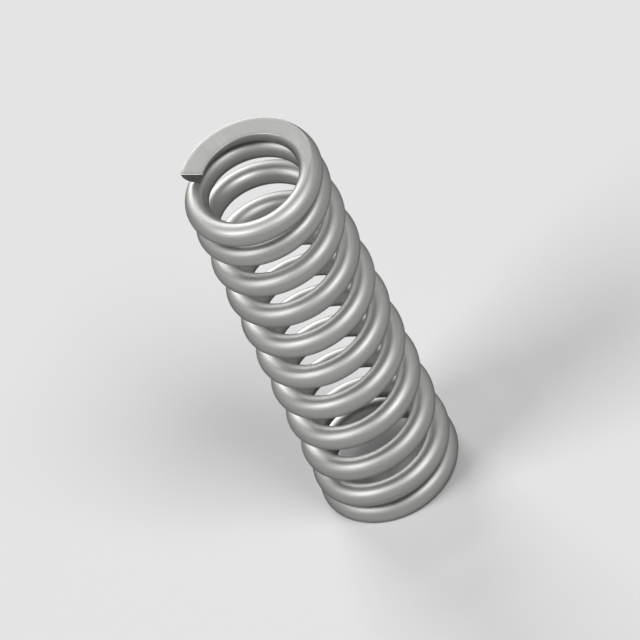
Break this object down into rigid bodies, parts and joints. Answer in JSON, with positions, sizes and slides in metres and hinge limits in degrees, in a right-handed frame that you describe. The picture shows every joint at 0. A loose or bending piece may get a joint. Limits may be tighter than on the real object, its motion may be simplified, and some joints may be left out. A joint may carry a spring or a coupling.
{
  "type": "compression spring",
  "caption": "Small right-hand helical compression spring of round steel wire, with closed and ground ends.",
  "frame": {"origin": "centre of the lower ground seat, on the coil's axis", "axes": "+Z along the coil's axis, from the lower seat to the upper one; +X towards the two cut tips of the wire, which lie one above the other"},
  "size_m": [0.0122, 0.0122, 0.0393],
  "materials": {
    "spring_steel": "satin cold-drawn wire with fine lines along it, bright ground end faces"
  },
  "bodies": {
    "root": {"spring": "spring_steel"}
  },
  "joints": []
}
